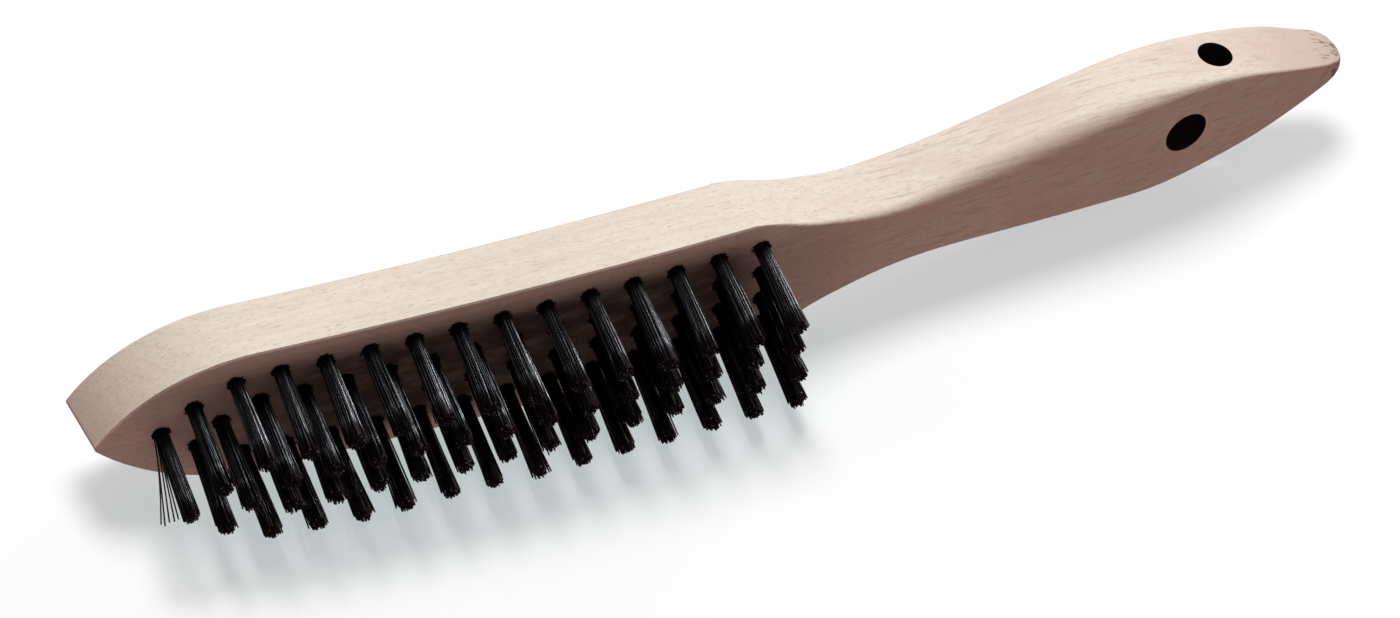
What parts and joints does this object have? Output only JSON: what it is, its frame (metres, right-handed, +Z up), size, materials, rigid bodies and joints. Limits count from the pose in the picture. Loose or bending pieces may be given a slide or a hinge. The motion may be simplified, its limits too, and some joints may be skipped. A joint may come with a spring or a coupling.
{
  "type": "wire brush",
  "caption": "Hand wire brush: rows of straight steel wire tufts in a bowed beech block with a pointed toe and a swept-back grip.",
  "frame": {"origin": "middle of the underside of the whole brush's box, the brush lying on one side face of its block", "axes": "+X along the brush towards the handle's end, +Y from the bristles to the back of the block, +Z up across the width"},
  "size_m": [0.2896, 0.0594, 0.036],
  "materials": {
    "beech": "sanded bare beech, unlacquered",
    "bristle_wire": "dark drawn steel wire, cut ends",
    "anchor_wire": "flat drawn steel anchor wire"
  },
  "bodies": {
    "root": {"beech_handle": "beech", "tuft_centre_toe": "bristle_wire", "tuft_lower_inner_01": "bristle_wire", "tuft_lower_inner_02": "bristle_wire", "tuft_lower_inner_03": "bristle_wire", "tuft_lower_inner_04": "bristle_wire", "tuft_lower_inner_05": "bristle_wire", "tuft_lower_inner_06": "bristle_wire", "tuft_lower_inner_07": "bristle_wire", "tuft_lower_inner_08": "bristle_wire", "tuft_lower_inner_09": "bristle_wire", "tuft_lower_inner_10": "bristle_wire", "tuft_lower_inner_11": "bristle_wire", "tuft_lower_inner_12": "bristle_wire", "tuft_lower_inner_13": "bristle_wire", "tuft_lower_outer_01": "bristle_wire", "tuft_lower_outer_02": "bristle_wire", "tuft_lower_outer_03": "bristle_wire", "tuft_lower_outer_04": "bristle_wire", "tuft_lower_outer_05": "bristle_wire", "tuft_lower_outer_06": "bristle_wire", "tuft_lower_outer_07": "bristle_wire", "tuft_lower_outer_08": "bristle_wire", "tuft_lower_outer_09": "bristle_wire", "tuft_lower_outer_10": "bristle_wire", "tuft_lower_outer_11": "bristle_wire", "tuft_lower_outer_12": "bristle_wire", "tuft_lower_outer_13": "bristle_wire", "tuft_lower_toe": "bristle_wire", "tuft_tip_toe": "bristle_wire", "tuft_upper_inner_01": "bristle_wire", "tuft_upper_inner_02": "bristle_wire", "tuft_upper_inner_03": "bristle_wire", "tuft_upper_inner_04": "bristle_wire", "tuft_upper_inner_05": "bristle_wire", "tuft_upper_inner_06": "bristle_wire", "tuft_upper_inner_07": "bristle_wire", "tuft_upper_inner_08": "bristle_wire", "tuft_upper_inner_09": "bristle_wire", "tuft_upper_inner_10": "bristle_wire", "tuft_upper_inner_11": "bristle_wire", "tuft_upper_inner_12": "bristle_wire", "tuft_upper_inner_13": "bristle_wire", "tuft_upper_outer_01": "bristle_wire", "tuft_upper_outer_02": "bristle_wire", "tuft_upper_outer_03": "bristle_wire", "tuft_upper_outer_04": "bristle_wire", "tuft_upper_outer_05": "bristle_wire", "tuft_upper_outer_06": "bristle_wire", "tuft_upper_outer_07": "bristle_wire", "tuft_upper_outer_08": "bristle_wire", "tuft_upper_outer_09": "bristle_wire", "tuft_upper_outer_10": "bristle_wire", "tuft_upper_outer_11": "bristle_wire", "tuft_upper_outer_12": "bristle_wire", "tuft_upper_outer_13": "bristle_wire", "tuft_upper_toe": "bristle_wire", "wire_anchors": "anchor_wire"}
  },
  "joints": []
}
